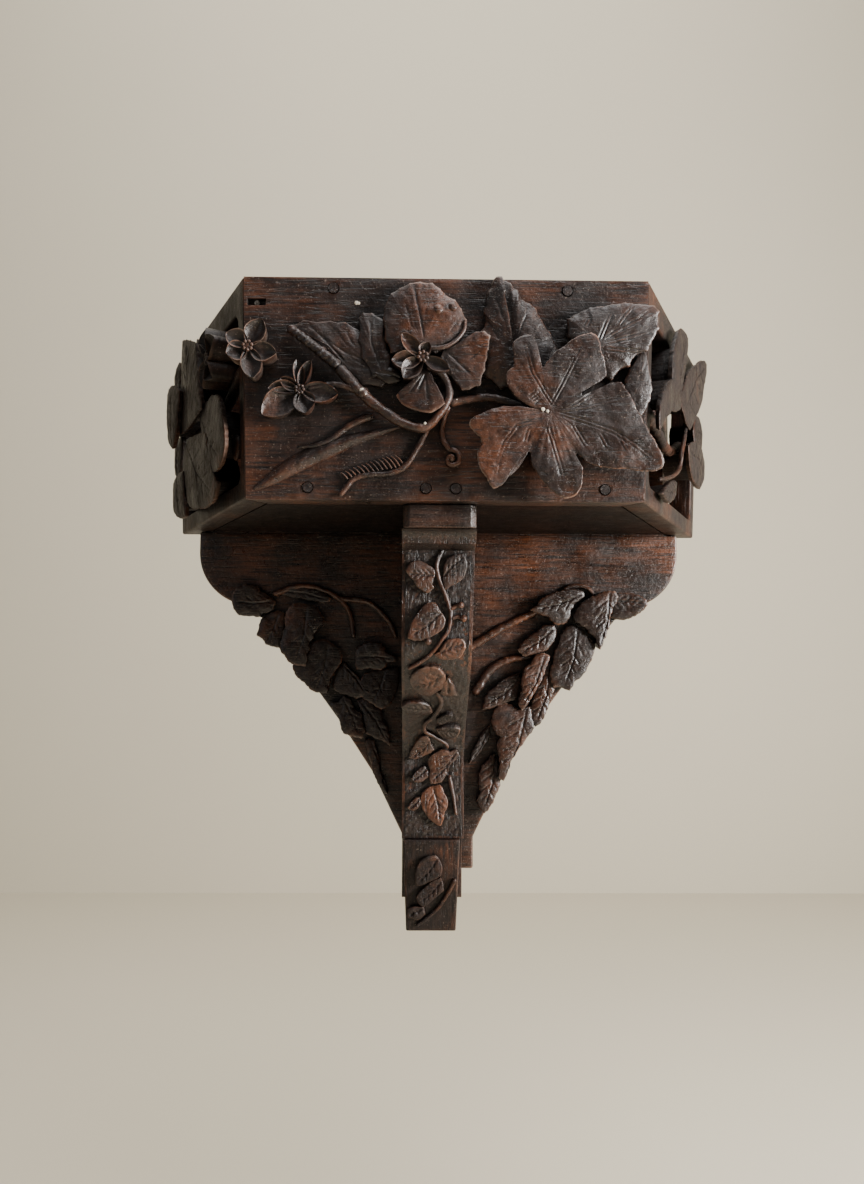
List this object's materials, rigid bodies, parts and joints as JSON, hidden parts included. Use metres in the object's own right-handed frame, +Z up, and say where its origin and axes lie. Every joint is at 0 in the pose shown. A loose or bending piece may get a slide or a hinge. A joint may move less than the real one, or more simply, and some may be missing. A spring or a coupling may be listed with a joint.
{
  "type": "carved wooden wall bracket shelf",
  "caption": "Wall bracket shelf: a half-hexagon box with leaf-carved aprons on a carved backboard and a curved central strut.",
  "frame": {"origin": "wall face of the backboard, on the box's middle line and level with the underside of the box", "axes": "+Z up, -Y out of the wall into the room, +X to the right of someone who faces the wall"},
  "size_m": [0.3085, 0.1432, 0.3143],
  "materials": {
    "dark_wood": "dark brown stain, waxed to a satin sheen",
    "warm_wood": "brown stain, worn warmer, satin",
    "board_wood": "brown stain, satin",
    "peg_wood": "dark end grain",
    "pin_metal": "dull and worn"
  },
  "bodies": {
    "root": {"backboard": "dark_wood", "shelf_top": "board_wood", "shelf_bottom": "board_wood", "front_apron": "dark_wood", "left_apron": "dark_wood", "right_apron": "dark_wood", "strut_cap": "dark_wood", "strut": "warm_wood", "foot_block": "warm_wood", "peg_top_left": "peg_wood", "peg_top_right": "peg_wood", "peg_low_1": "peg_wood", "peg_low_2": "peg_wood", "peg_low_3": "peg_wood", "peg_low_4": "peg_wood", "corner_pin": "pin_metal"}
  },
  "joints": []
}
